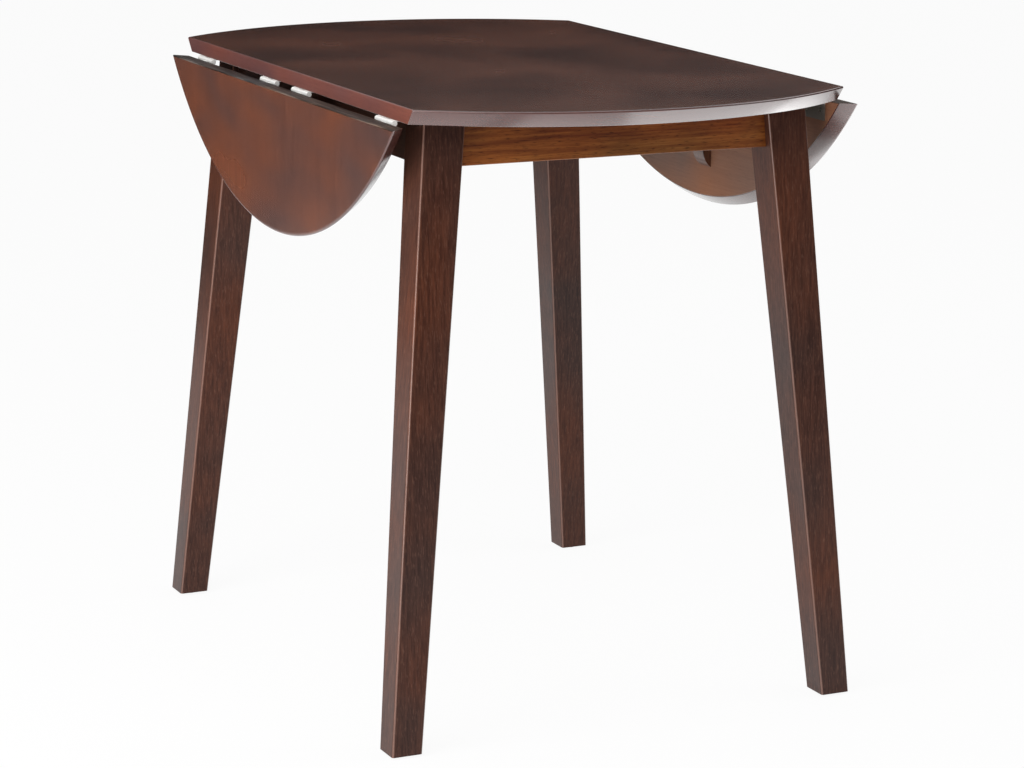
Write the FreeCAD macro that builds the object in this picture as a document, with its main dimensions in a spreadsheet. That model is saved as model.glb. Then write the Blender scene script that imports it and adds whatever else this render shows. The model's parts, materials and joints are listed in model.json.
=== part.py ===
import FreeCAD, Part
import Sketcher
import math
import os

# Round dining table with two drop leaves on four splayed legs, in millimetres, +Z up.
# The origin is on the floor below the middle of the top. The hinge lines run along Y,
# the leaves hang at -X and +X, and the sitter looks along +Y at the front apron.
# The table is the same after half a turn about Z, so the right-hand pieces are modelled
# and the left-hand ones are the same pieces turned.

DRIVING_SIZES = {
    # Top: a disc with an undercut rim, cut into a panel and two leaves
    "table_height": 747,
    "top_diameter": 914,
    "top_thickness": 18,
    "rim_undercut": 12,
    "top_arris": 1.5,
    "panel_width": 552,
    "leaf_gap": 1.5,
    "leaf_fullness": 0.964,
    # Legs and their glides
    "leg_top_width": 52,
    "leg_foot_width": 38,
    "leg_panel_inset": 30,
    "leg_rim_inset": 48,
    "leg_splay_x": 58,
    "leg_splay_y": 50,
    "leg_edge_radius": 3,
    "glide_diameter": 22,
    "glide_height": 3,
    "glide_edge_radius": 1,
    "glide_stem_diameter": 4,
    "glide_stem_length": 15,
    # Aprons
    "apron_height": 56,
    "apron_thickness": 20,
    "apron_recess": 9,
    "apron_edge_radius": 1.5,
    # Corner blocks and what draws each leg to its corner
    "block_thickness": 24,
    "block_height": 45,
    "block_leg_gap": 1.5,
    "hanger_bolt_diameter": 8,
    "hanger_bolt_grip": 40,
    "hanger_bolt_tail": 12,
    "leg_washer_diameter": 20,
    "leg_washer_thickness": 1.6,
    "leg_nut_width": 13,
    "leg_nut_height": 6.5,
    "top_screw_diameter": 4.2,
    "top_screw_head_diameter": 8.4,
    "top_screw_head_height": 2.8,
    "top_screw_bite": 12,
    "top_screw_spread": 28,
    # Hinges between the panel and each leaf
    "hinge_length": 50,
    "hinge_drop": 3.5,
    "hinge_plate_width": 26,
    "hinge_plate_thickness": 1.5,
    "hinge_end_inset": 58,
    "hinge_wide_offset": 69,
    "hinge_narrow_offset": 35,
    "knuckle_diameter": 6.4,
    "hinge_pin_diameter": 3,
    "hinge_screw_diameter": 3,
    "hinge_screw_head_diameter": 6,
    "hinge_screw_length": 12,
    "hinge_screw_reach": 15,
    "hinge_screw_spread": 16,
    # Leaf battens, and the lopers that slide out below them
    "support_offset": 26,
    "batten_width": 28,
    "batten_thickness": 12,
    "batten_start": 12,
    "batten_share": 0.64,
    "batten_nose": 24,
    "loper_width": 28,
    "loper_height": 24,
    "loper_length": 328,
    "loper_nose_radius": 5,
    "finger_groove_radius": 6,
    "finger_groove_inset": 16,
    "finger_groove_depth": 4,
    "keeper_place": 85,
    "keeper_length": 24,
    "keeper_width": 60,
    "keeper_strap": 8,
    "stop_dowel_diameter": 8,
    "stop_dowel_inset": 10,
    "stop_dowel_depth": 12,
    "stop_dowel_height": 8,
    # Clearances
    "running_clearance": 0.05,
    "screw_clearance": 0.2,
    "bolt_clearance": 0.5,
    "slide_clearance": 0.3,
    "knuckle_gap": 0.4,
    "batten_clearance": 1,
}

# Places worked out from the driving sizes
LAYOUT = {
    "top_radius": "sizes.top_diameter / 2",
    "underside": "sizes.table_height - sizes.top_thickness",
    "panel_edge": "sizes.panel_width / 2",
    "pin_x": "panel_edge + sizes.leaf_gap / 2",
    "pin_z": "underside - sizes.hinge_drop",
    "leaf_edge": "panel_edge + sizes.leaf_gap",
    "leaf_depth": "sizes.leaf_fullness * (top_radius - leaf_edge)",
    "leaf_corner_y": "sqrt(top_radius ^ 2 - leaf_edge ^ 2)",
    "leaf_radius": "(leaf_corner_y ^ 2 + leaf_depth ^ 2) / (2 * leaf_depth)",
    "leaf_middle_x": "leaf_edge + leaf_depth - leaf_radius",
    "hinge_end": "sqrt((top_radius - sizes.rim_undercut) ^ 2 - panel_edge ^ 2) - sizes.hinge_end_inset",
    "leg_top_x": "panel_edge - sizes.leg_panel_inset",
    "leg_top_y": "sqrt((top_radius - sizes.leg_rim_inset) ^ 2 - leg_top_x ^ 2)",
    "leg_foot_x": "leg_top_x + sizes.leg_splay_x",
    "leg_foot_y": "leg_top_y + sizes.leg_splay_y",
    "side_face_x": "leg_top_x - sizes.apron_recess",
    "end_face_y": "leg_top_y - sizes.apron_recess",
    "apron_bottom": "underside - sizes.apron_height",
    "corner_x": "side_face_x - sizes.apron_thickness",
    "corner_y": "end_face_y - sizes.apron_thickness",
    "leg_inner_sum": "leg_top_x + leg_top_y - 2 * sizes.leg_top_width",
    "block_outer_sum": "leg_inner_sum - sizes.block_leg_gap * sqrt(2)",
    "block_inner_sum": "block_outer_sum - sizes.block_thickness * sqrt(2)",
    "block_x": "(block_inner_sum + corner_x - corner_y) / 2",
    "block_y": "(block_inner_sum + corner_y - corner_x) / 2",
    "block_bottom": "underside - sizes.block_height",
    "bolt_z": "underside - sizes.block_height / 2",
    "batten_face_x": "pin_x + sizes.hinge_drop - sizes.batten_thickness",
    "batten_length": "sizes.batten_share * leaf_depth",
    "loper_nose_x": "batten_face_x - sizes.slide_clearance",
    "loper_inner_x": "loper_nose_x - sizes.loper_length",
    "loper_top": "underside - sizes.batten_thickness - sizes.batten_clearance",
    "loper_bottom": "loper_top - sizes.loper_height",
    "slide_width": "sizes.loper_width + 2 * sizes.slide_clearance",
    "slide_height": "sizes.loper_height + 2 * sizes.slide_clearance",
    "keeper_bottom": "loper_bottom - sizes.slide_clearance - sizes.keeper_strap",
    "keeper_screw_spread": "(sizes.keeper_width + slide_width) / 4",
    "middle_knuckle": "sizes.hinge_length / 3 - sizes.knuckle_gap",
    "outer_knuckle": "sizes.hinge_length / 3 - sizes.knuckle_gap / 2",
    "knuckle_relief": "sizes.knuckle_diameter / 2 + sizes.knuckle_gap",
    "pin_bore_radius": "sizes.hinge_pin_diameter / 2 + sizes.running_clearance",
}

Z_AXIS = FreeCAD.Vector(0, 0, 1)
Y_AXIS = FreeCAD.Vector(0, 1, 0)
X_AXIS = FreeCAD.Vector(1, 0, 0)
HALF_TURN = FreeCAD.Rotation(Z_AXIS, 180)
ALONG_Y = FreeCAD.Rotation(X_AXIS, -90)
HANGING = FreeCAD.Rotation(Y_AXIS, 90)
WEDGE_UPRIGHT = FreeCAD.Rotation(X_AXIS, 90)
TURNED_WORDS = {"left": "right", "right": "left", "front": "rear", "rear": "front"}
CORNERS = {"front": -1, "rear": 1}

doc = FreeCAD.newDocument("drop_leaf_table")
subparts = {}


def write_sizes():
    """Put the driving sizes in a spreadsheet, one named cell each."""
    sheet = doc.addObject("Spreadsheet::Sheet", "sizes")
    for row, (name, value) in enumerate(DRIVING_SIZES.items(), start=1):
        sheet.set(f"A{row}", name)
        sheet.set(f"B{row}", str(value))
        sheet.setAlias(f"B{row}", name)
    doc.recompute()
    return sheet


def write_layout():
    """Put the places that follow from the sizes in one set of variables."""
    layout = doc.addObject("App::VarSet", "layout")
    for name, expression in LAYOUT.items():
        layout.addProperty("App::PropertyFloat", name)
        layout.setExpression(name, expression)
    doc.recompute()
    return layout


def bind(obj, **expressions):
    """Tie properties of an object to expressions."""
    for name, expression in expressions.items():
        obj.setExpression(name, str(expression))
    return obj


def place(obj, x=0, y=0, z=0, rotation=None):
    """Give an object its turn and tie its place to expressions."""
    obj.Placement = FreeCAD.Placement(FreeCAD.Vector(), rotation or FreeCAD.Rotation())
    for axis, expression in (("x", x), ("y", y), ("z", z)):
        obj.setExpression(f"Placement.Base.{axis}", str(expression))
    return obj


def box(name, length, width, height, x=0, y=0, z=0):
    """A box from its lowest corner."""
    solid = doc.addObject("Part::Box", name)
    bind(solid, Length=length, Width=width, Height=height)
    return place(solid, x, y, z)


def cylinder(name, radius, height, x=0, y=0, z=0, rotation=None):
    """A round bar from the centre of its first end."""
    solid = doc.addObject("Part::Cylinder", name)
    bind(solid, Radius=radius, Height=height)
    return place(solid, x, y, z, rotation)


def cone(name, first_radius, last_radius, height, x=0, y=0, z=0):
    """An upright cone frustum from the centre of its lower end."""
    solid = doc.addObject("Part::Cone", name)
    bind(solid, Radius1=first_radius, Radius2=last_radius, Height=height)
    return place(solid, x, y, z)


def collect(name, pieces):
    """Several pieces held as one group of separate solids."""
    group = doc.addObject("Part::Compound", name)
    group.Links = pieces
    return group


def placed(name, pattern, x=0, y=0, z=0, rotation=None):
    """One placed copy of a pattern piece."""
    return place(collect(name, [pattern]), x, y, z, rotation)


def fuse(name, pieces):
    """Overlapping pieces joined to one solid."""
    joined = doc.addObject("Part::MultiFuse", name)
    joined.Shapes = pieces
    return joined


def cut(name, base, tools):
    """A piece with tools taken out of it."""
    result = doc.addObject("Part::Cut", name)
    result.Base = base
    result.Tool = tools[0] if len(tools) == 1 else collect(f"{name}_tools", tools)
    return result


def common(name, base, tool):
    """What two pieces share."""
    result = doc.addObject("Part::Common", name)
    result.Base = base
    result.Tool = tool
    return result


def rounded(name, base, radius, chosen):
    """A piece with the chosen edges rounded."""
    doc.recompute()
    numbers = [n for n, edge in enumerate(base.Shape.Edges, start=1) if chosen(edge)]
    result = doc.addObject("Part::Fillet", name)
    result.Base = base
    result.Edges = [(number, radius, radius) for number in numbers]
    return result


def lies_flat(edge):
    """Whether an edge stays at one height."""
    return edge.BoundBox.ZLength < 1e-6


def turned_name(name):
    """The name of the piece that stands half a turn away."""
    return "_".join(TURNED_WORDS.get(word, word) for word in name.split("_"))


def keep(name, piece):
    """Name a finished sub-part."""
    piece.Label = name
    subparts[name] = piece


def keep_pair(name, piece):
    """Name a finished sub-part, and its twin half a turn away."""
    keep(name, piece)
    keep(turned_name(name), placed(f"{name}_turned", piece, rotation=HALF_TURN))


def with_turned(name, pieces):
    """Pieces and the same pieces half a turn away, as one group."""
    group = collect(f"{name}_right", pieces)
    return collect(name, [group, placed(f"{name}_left", group, rotation=HALF_TURN)])


sizes = write_sizes()
layout = write_layout()

# Where the four hinges of the right leaf lie along Y: a pair near the ends, and a pair
# that leaves room for the support between them
RIGHT_HINGES = {
    "rear": "layout.hinge_end",
    "inner_rear": "sizes.hinge_narrow_offset",
    "inner_front": "-sizes.hinge_wide_offset",
    "front": "-layout.hinge_end",
}


def hinge_screw_places():
    """Each hinge screw's place along Y."""
    for middle in RIGHT_HINGES.values():
        for side in (-1, 1):
            yield f"{middle} + {side} * sizes.hinge_screw_spread"


def block_screw_places(along_y):
    """The two screws of one right-hand corner block, which pass beside its bolt."""
    for side in (-1, 1):
        across = f"(sizes.block_thickness / 2 + {side} * sizes.top_screw_spread) / sqrt(2)"
        along = f"(sizes.block_thickness / 2 - {side} * sizes.top_screw_spread) / sqrt(2)"
        yield f"layout.block_x + {across}", f"{along_y} * (layout.block_y + {along})"


def keeper_screw_places():
    """The two screws of the right-hand keeper, one in each cheek."""
    for side in (-1, 1):
        yield (
            "sizes.keeper_place + sizes.keeper_length / 2",
            f"{side} * layout.keeper_screw_spread - sizes.support_offset",
        )


def top_disc(name, radius, middle_x, underside):
    """A round board: wider at its upper face than at its underside."""
    return cone(
        name,
        f"{radius} - sizes.rim_undercut",
        radius,
        "sizes.top_thickness",
        middle_x,
        0,
        underside,
    )


def pilot(name, x, y, z, diameter, depth):
    """A screw's hole, upwards from an underside."""
    radius = f"{diameter} / 2 + sizes.running_clearance"
    return cylinder(name, radius, f"{depth} + sizes.screw_clearance", x, y, z)


# Hinge patterns: the pin lies on Y through the origin, the fixed plate reaches to -X
# and the moving plate to +X, both as they are with the leaf raised
def hinge_plate(name, knuckle_spans, relief_spans, reach):
    """One hinge plate with its knuckles and screw holes, from spans along Y."""
    plate_z = "sizes.hinge_drop - sizes.hinge_plate_thickness"
    flap = box(
        f"{name}_flap",
        "sizes.hinge_plate_width - sizes.leaf_gap / 2",
        "sizes.hinge_length",
        "sizes.hinge_plate_thickness",
        "sizes.leaf_gap / 2" if reach > 0 else "-sizes.hinge_plate_width",
        "-sizes.hinge_length / 2",
        plate_z,
    )
    reliefs = [
        box(
            f"{name}_relief_{number}",
            "layout.knuckle_relief",
            length,
            "sizes.hinge_drop",
            0 if reach > 0 else "-layout.knuckle_relief",
            start,
            0,
        )
        for number, (start, length) in enumerate(relief_spans)
    ]
    knuckles = [
        cylinder(f"{name}_knuckle_{number}", "sizes.knuckle_diameter / 2", length, 0, start, 0, ALONG_Y)
        for number, (start, length) in enumerate(knuckle_spans)
    ]
    bore = cylinder(
        f"{name}_bore",
        "layout.pin_bore_radius",
        "sizes.hinge_length",
        0,
        "-sizes.hinge_length / 2",
        0,
        ALONG_Y,
    )
    sinks = [
        cone(
            f"{name}_sink_{number}",
            "sizes.hinge_screw_head_diameter / 2 + sizes.running_clearance",
            "sizes.hinge_screw_diameter / 2 + sizes.running_clearance",
            "sizes.hinge_plate_thickness",
            f"{reach} * sizes.hinge_screw_reach",
            f"{side} * sizes.hinge_screw_spread",
            plate_z,
        )
        for number, side in enumerate((-1, 1))
    ]
    relieved = cut(f"{name}_relieved", flap, reliefs)
    return cut(name, fuse(f"{name}_rolled", [relieved] + knuckles), [bore] + sinks)


half_length = "sizes.hinge_length / 2"
middle_start = "-layout.middle_knuckle / 2"
outer_start = f"({half_length} - layout.outer_knuckle)"
fixed_plate = hinge_plate(
    "fixed_plate",
    [(f"-{half_length}", "layout.outer_knuckle"), (outer_start, "layout.outer_knuckle")],
    [(f"-{outer_start}", f"2 * {outer_start}")],
    -1,
)
moving_plate = hinge_plate(
    "moving_plate",
    [(middle_start, "layout.middle_knuckle")],
    [
        (f"-{half_length}", f"{half_length} - layout.middle_knuckle / 2"),
        ("layout.middle_knuckle / 2", f"{half_length} - layout.middle_knuckle / 2"),
    ],
    1,
)
hinge_pin = cylinder(
    "hinge_pin",
    "sizes.hinge_pin_diameter / 2",
    "sizes.hinge_length",
    0,
    f"-{half_length}",
    0,
    ALONG_Y,
)
hinge_screw = fuse(
    "hinge_screw",
    [
        cone(
            "hinge_screw_head",
            "sizes.hinge_screw_head_diameter / 2",
            "sizes.hinge_screw_diameter / 2",
            "sizes.hinge_plate_thickness",
        ),
        cylinder("hinge_screw_shank", "sizes.hinge_screw_diameter / 2", "sizes.hinge_screw_length"),
    ],
)

for place_name, middle in RIGHT_HINGES.items():
    hinge = f"right_{place_name}_hinge"
    for piece_name, pattern, turn in (
        ("fixed_plate", fixed_plate, None),
        ("moving_plate", moving_plate, HANGING),
        ("pin", hinge_pin, None),
    ):
        piece = placed(f"{hinge}_{piece_name}_placed", pattern, "layout.pin_x", middle, "layout.pin_z", turn)
        keep_pair(f"{hinge}_{piece_name}", piece)

# Top panel: the strip of the disc between the two hinge lines
panel_strip = common(
    "panel_strip",
    top_disc("panel_disc", "layout.top_radius", 0, "layout.underside"),
    box(
        "panel_span",
        "sizes.panel_width",
        "sizes.top_diameter",
        "sizes.top_thickness",
        "-layout.panel_edge",
        "-layout.top_radius",
        "layout.underside",
    ),
)
panel_eased = rounded("panel_eased", panel_strip, sizes.top_arris, lies_flat)

hinge_bite = "sizes.hinge_screw_length - sizes.hinge_plate_thickness"
panel_screw_x = "layout.pin_x - sizes.hinge_screw_reach"
hinge_screw_size = "sizes.hinge_screw_diameter"
top_screw_size = "sizes.top_screw_diameter"
top_bite = "sizes.top_screw_bite"
panel_pilots = [
    pilot(f"panel_hinge_pilot_{n}", panel_screw_x, y, "layout.underside", hinge_screw_size, hinge_bite)
    for n, y in enumerate(hinge_screw_places())
]
top_screw_places = [xy for along_y in CORNERS.values() for xy in block_screw_places(along_y)]
panel_pilots += [
    pilot(f"panel_top_pilot_{n}", x, y, "layout.underside", top_screw_size, top_bite)
    for n, (x, y) in enumerate(top_screw_places + list(keeper_screw_places()))
]
keep("top_panel", cut("panel_drilled", panel_eased, [with_turned("panel_pilots", panel_pilots)]))
panel_screw_z = "layout.underside - sizes.hinge_plate_thickness"
panel_screws = [
    placed(f"panel_screw_{n}", hinge_screw, panel_screw_x, y, panel_screw_z)
    for n, y in enumerate(hinge_screw_places())
]
keep("panel_hinge_screws", with_turned("panel_hinge_screws_group", panel_screws))

# Leaf: what lies past the hinge line, a little shallower than the panel's own circle would
# make it. It is drawn raised, with the pin at the origin, and then hung
leaf_strip = common(
    "leaf_strip",
    top_disc("leaf_disc", "layout.leaf_radius", "layout.leaf_middle_x - layout.pin_x", "sizes.hinge_drop"),
    box(
        "leaf_span",
        "layout.top_radius - layout.panel_edge",
        "sizes.top_diameter",
        "sizes.top_thickness",
        "layout.leaf_edge - layout.pin_x",
        "-layout.top_radius",
        "sizes.hinge_drop",
    ),
)
leaf_eased = rounded("leaf_eased", leaf_strip, sizes.top_arris, lies_flat)
leaf_pilots = [
    pilot(f"leaf_pilot_{n}", "sizes.hinge_screw_reach", y, "sizes.hinge_drop", hinge_screw_size, hinge_bite)
    for n, y in enumerate(hinge_screw_places())
]
leaf_raised = cut("leaf_raised", leaf_eased, leaf_pilots)
keep_pair("right_leaf", placed("leaf_hung", leaf_raised, "layout.pin_x", 0, "layout.pin_z", HANGING))
leaf_screws = collect(
    "leaf_screws",
    [
        placed(
            f"leaf_screw_{n}",
            hinge_screw,
            "sizes.hinge_screw_reach",
            y,
            "sizes.hinge_drop - sizes.hinge_plate_thickness",
        )
        for n, y in enumerate(hinge_screw_places())
    ],
)
keep_pair(
    "right_leaf_hinge_screws",
    placed("leaf_screws_hung", leaf_screws, "layout.pin_x", 0, "layout.pin_z", HANGING),
)


def batten_outline(body):
    """The batten from its side: both noses run smoothly from its face down to the leaf."""
    plane = next(part for part in body.Origin.OriginFeatures if part.Role == "XZ_Plane")
    sketch = body.newObject("Sketcher::SketchObject", "batten_outline")
    sketch.AttachmentSupport = [(plane, "")]
    sketch.MapMode = "FlatFace"
    length = layout.batten_length
    thickness = sizes.batten_thickness
    nose = sizes.batten_nose
    radius = (thickness ** 2 + nose ** 2) / (2 * thickness)
    tip_angle = math.asin((radius - thickness) / radius)
    start = FreeCAD.Vector(0, 0, 0)
    end = FreeCAD.Vector(length, 0, 0)
    face_end = FreeCAD.Vector(length - nose, thickness, 0)
    face_start = FreeCAD.Vector(nose, thickness, 0)
    outer_circle = Part.Circle(face_end - FreeCAD.Vector(0, radius, 0), Z_AXIS, radius)
    inner_circle = Part.Circle(face_start - FreeCAD.Vector(0, radius, 0), Z_AXIS, radius)
    seat = sketch.addGeometry(Part.LineSegment(start, end))
    outer = sketch.addGeometry(Part.ArcOfCircle(outer_circle, tip_angle, math.pi / 2))
    face = sketch.addGeometry(Part.LineSegment(face_end, face_start))
    inner = sketch.addGeometry(Part.ArcOfCircle(inner_circle, math.pi / 2, math.pi - tip_angle))
    sketch.addConstraint(Sketcher.Constraint("Coincident", seat, 1, -1, 1))
    sketch.addConstraint(Sketcher.Constraint("Coincident", seat, 2, outer, 1))
    sketch.addConstraint(Sketcher.Constraint("Tangent", outer, 2, face, 1))
    sketch.addConstraint(Sketcher.Constraint("Tangent", face, 2, inner, 1))
    sketch.addConstraint(Sketcher.Constraint("Coincident", inner, 2, seat, 1))
    sketch.addConstraint(Sketcher.Constraint("Horizontal", seat))
    sketch.addConstraint(Sketcher.Constraint("Horizontal", face))
    for rule, expression in (
        (Sketcher.Constraint("DistanceX", seat, 1, seat, 2, length), "layout.batten_length"),
        (Sketcher.Constraint("DistanceY", seat, 1, face, 2, thickness), "sizes.batten_thickness"),
        (Sketcher.Constraint("DistanceX", face, 1, seat, 2, nose), "sizes.batten_nose"),
        (Sketcher.Constraint("DistanceX", seat, 1, face, 2, nose), "sizes.batten_nose"),
    ):
        number = sketch.addConstraint(rule)
        sketch.setExpression(f"Constraints[{number}]", expression)
    return sketch


def leaf_batten():
    """The right leaf's batten, which its loper carries when the leaf is raised."""
    body = doc.addObject("PartDesign::Body", "leaf_batten")
    pad = body.newObject("PartDesign::Pad", "batten_pad")
    pad.Profile = batten_outline(body)
    pad.SideType = "Symmetric"
    bind(pad, Length="sizes.batten_width")
    body.Tip = pad
    hung = FreeCAD.Rotation(-Z_AXIS, -Y_AXIS, -X_AXIS, "XYZ")
    seat_x = "layout.pin_x + sizes.hinge_drop"
    return place(body, seat_x, "-sizes.support_offset", "layout.pin_z - sizes.batten_start", hung)


keep_pair("right_leaf_batten", leaf_batten())


def leg_blank(name, along_y):
    """A right-hand leg before its edges are eased: it tapers and leans out both ways."""
    top_far = "layout.leg_top_y"
    top_near = "(layout.leg_top_y - sizes.leg_top_width)"
    foot_far = "layout.leg_foot_y"
    foot_near = "(layout.leg_foot_y - sizes.leg_foot_width)"
    if along_y > 0:
        top_span = (f"-{top_far}", f"-{top_near}")
        foot_span = (f"-{foot_far}", f"-{foot_near}")
    else:
        top_span = (top_near, top_far)
        foot_span = (foot_near, foot_far)
    blank = doc.addObject("Part::Wedge", name)
    bind(
        blank,
        Ymin="sizes.glide_height",
        Ymax="layout.underside",
        Xmin="layout.leg_foot_x - sizes.leg_foot_width",
        Xmax="layout.leg_foot_x",
        Zmin=foot_span[0],
        Zmax=foot_span[1],
        X2min="layout.leg_top_x - sizes.leg_top_width",
        X2max="layout.leg_top_x",
        Z2min=top_span[0],
        Z2max=top_span[1],
    )
    return place(blank, rotation=WEDGE_UPRIGHT)


def on_diagonal(name, pattern, along_y, way):
    """A piece on a hanger bolt's line, a way out from the corner block's inner face."""
    return placed(
        name,
        pattern,
        f"layout.block_x + ({way}) / sqrt(2)",
        f"{along_y} * (layout.block_y + ({way}) / sqrt(2))",
        "layout.bolt_z",
        FreeCAD.Rotation(Z_AXIS, FreeCAD.Vector(1, along_y, 0)),
    )


bolt_end = "sizes.block_thickness + sizes.block_leg_gap + sizes.hanger_bolt_grip"
hanger_bolt = cylinder(
    "hanger_bolt", "sizes.hanger_bolt_diameter / 2", f"sizes.hanger_bolt_tail + {bolt_end}"
)
leg_bolt_hole = cylinder(
    "leg_bolt_hole", "sizes.hanger_bolt_diameter / 2 + sizes.running_clearance", bolt_end
)
block_bolt_hole = cylinder(
    "block_bolt_hole", "sizes.hanger_bolt_diameter / 2 + sizes.bolt_clearance", "2 * sizes.block_thickness"
)
washer_disc = cylinder("washer_disc", "sizes.leg_washer_diameter / 2", "sizes.leg_washer_thickness")
washer_hole = cylinder(
    "washer_hole", "sizes.hanger_bolt_diameter / 2 + sizes.screw_clearance", "sizes.leg_washer_thickness"
)
leg_washer = cut("leg_washer", washer_disc, [washer_hole])
nut_prism = bind(
    doc.addObject("Part::Prism", "nut_prism"),
    Circumradius="sizes.leg_nut_width / sqrt(3)",
    Height="sizes.leg_nut_height",
)
nut_hole = cylinder(
    "nut_hole", "sizes.hanger_bolt_diameter / 2 + sizes.running_clearance", "sizes.leg_nut_height"
)
leg_nut = cut("leg_nut", nut_prism, [nut_hole])
glide_stem_hole = cylinder(
    "glide_stem_hole",
    "sizes.glide_stem_diameter / 2 + sizes.running_clearance",
    "sizes.glide_stem_length + sizes.screw_clearance",
)
glide_disc = cylinder("glide_disc", "sizes.glide_diameter / 2", "sizes.glide_height")
glide_eased = rounded(
    "glide_eased",
    glide_disc,
    sizes.glide_edge_radius,
    lambda edge: lies_flat(edge) and edge.BoundBox.ZMax < sizes.glide_height / 2,
)
glide = fuse(
    "glide",
    [
        glide_eased,
        cylinder(
            "glide_stem",
            "sizes.glide_stem_diameter / 2",
            "sizes.glide_height + sizes.glide_stem_length",
        ),
    ],
)
top_screw_head = cylinder(
    "top_screw_head",
    "sizes.top_screw_head_diameter / 2",
    "sizes.top_screw_head_height",
    0,
    0,
    "-sizes.top_screw_head_height",
)


def top_screw(name, grip):
    """A screw with a flat round head, up through a block and into the panel."""
    shank = cylinder(f"{name}_shank", "sizes.top_screw_diameter / 2", f"{grip} + sizes.top_screw_bite")
    return fuse(name, [top_screw_head, shank])


def screw_hole(name, x, y, z, depth):
    """A screw's clear hole through a block."""
    radius = "sizes.top_screw_diameter / 2 + sizes.screw_clearance"
    return cylinder(name, radius, depth, x, y, z)


block_screw = top_screw("block_screw", "sizes.block_height")
leg_blanks = {}
bolts = []
washers = []
nuts = []
top_screws = []
for end, along_y in CORNERS.items():
    # Leg, with the hole for its hanger bolt and the hole for its glide's stem
    leg_blanks[end] = leg_blank(f"{end}_leg_blank", along_y)
    leg_eased = rounded(
        f"{end}_leg_eased",
        leg_blanks[end],
        sizes.leg_edge_radius,
        lambda edge: edge.BoundBox.ZLength > sizes.table_height / 2,
    )
    foot_x = "layout.leg_foot_x - sizes.leg_foot_width / 2"
    foot_y = f"{along_y} * (layout.leg_foot_y - sizes.leg_foot_width / 2)"
    leg_holes = [
        on_diagonal(f"{end}_leg_bolt_hole", leg_bolt_hole, along_y, "sizes.screw_clearance"),
        placed(f"{end}_glide_hole", glide_stem_hole, foot_x, foot_y, "sizes.glide_height"),
    ]
    keep_pair(f"{end}_right_leg", cut(f"{end}_leg_drilled", leg_eased, leg_holes))
    keep_pair(f"{end}_right_glide", placed(f"{end}_glide_placed", glide, foot_x, foot_y))

    # Corner block across the corner of the aprons
    block = doc.addObject("Part::Wedge", f"{end}_block_blank")
    inner_half = "(layout.corner_x + layout.corner_y - layout.block_inner_sum) / sqrt(2)"
    outer_half = "(layout.corner_x + layout.corner_y - layout.block_outer_sum) / sqrt(2)"
    bind(
        block,
        Xmin=f"-{inner_half}",
        Xmax=inner_half,
        Ymin=0,
        Ymax="sizes.block_thickness",
        Zmin=0,
        Zmax="sizes.block_height",
        X2min=f"-{outer_half}",
        X2max=outer_half,
        Z2min=0,
        Z2max="sizes.block_height",
    )
    block_turn = FreeCAD.Rotation(Z_AXIS, -90 + 45 * along_y)
    place(block, "layout.block_x", f"{along_y} * layout.block_y", "layout.block_bottom", block_turn)
    hole_start = "-sizes.block_thickness / 2"
    block_holes = [on_diagonal(f"{end}_block_bolt_hole", block_bolt_hole, along_y, hole_start)]
    for number, (x, y) in enumerate(block_screw_places(along_y)):
        block_holes.append(
            screw_hole(f"{end}_block_hole_{number}", x, y, "layout.block_bottom", "sizes.block_height")
        )
        top_screws.append(placed(f"{end}_block_screw_{number}", block_screw, x, y, "layout.block_bottom"))
    keep_pair(f"{end}_right_corner_block", cut(f"{end}_block_drilled", block, block_holes))

    # Hanger bolt, washer and nut on the block's diagonal
    nut_way = "-sizes.leg_washer_thickness - sizes.leg_nut_height"
    bolts.append(on_diagonal(f"{end}_bolt", hanger_bolt, along_y, "-sizes.hanger_bolt_tail"))
    washers.append(on_diagonal(f"{end}_washer", leg_washer, along_y, "-sizes.leg_washer_thickness"))
    nuts.append(on_diagonal(f"{end}_nut", leg_nut, along_y, nut_way))
keep("hanger_bolts", with_turned("hanger_bolts_group", bolts))
keep("leg_washers", with_turned("leg_washers_group", washers))
keep("leg_nuts", with_turned("leg_nuts_group", nuts))
keep("top_screws", with_turned("top_screws_group", top_screws))


def lower_edge(edge):
    """Whether an edge is one of an apron's two long lower edges."""
    at_bottom = abs(edge.BoundBox.ZMax - layout.apron_bottom) < 1e-6
    return at_bottom and edge.Length > sizes.apron_height


# Front apron, cut to the leaning inner faces of its two legs
left_front_blank = placed("left_front_leg_blank", leg_blanks["rear"], rotation=HALF_TURN)
end_board = box(
    "end_board",
    "2 * layout.corner_x",
    "sizes.apron_thickness",
    "sizes.apron_height",
    "-layout.corner_x",
    "-layout.end_face_y",
    "layout.apron_bottom",
)
end_fitted = cut("end_apron_fitted", end_board, [leg_blanks["front"], left_front_blank])
keep_pair("front_apron", rounded("end_apron_eased", end_fitted, sizes.apron_edge_radius, lower_edge))

# Right apron, cut to its two legs, with a mortise that the loper slides through
side_board = box(
    "side_board",
    "sizes.apron_thickness",
    "2 * layout.corner_y",
    "sizes.apron_height",
    "layout.corner_x",
    "-layout.corner_y",
    "layout.apron_bottom",
)
side_fitted = cut("side_apron_fitted", side_board, [leg_blanks["front"], leg_blanks["rear"]])
side_eased = rounded("side_apron_eased", side_fitted, sizes.apron_edge_radius, lower_edge)
slide_y = "-sizes.support_offset - layout.slide_width / 2"
slide_z = "layout.loper_bottom - sizes.slide_clearance"
mortise = box(
    "mortise",
    "sizes.apron_thickness",
    "layout.slide_width",
    "layout.slide_height",
    "layout.corner_x",
    slide_y,
    slide_z,
)
keep_pair("right_apron", cut("side_apron_mortised", side_eased, [mortise]))

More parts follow.
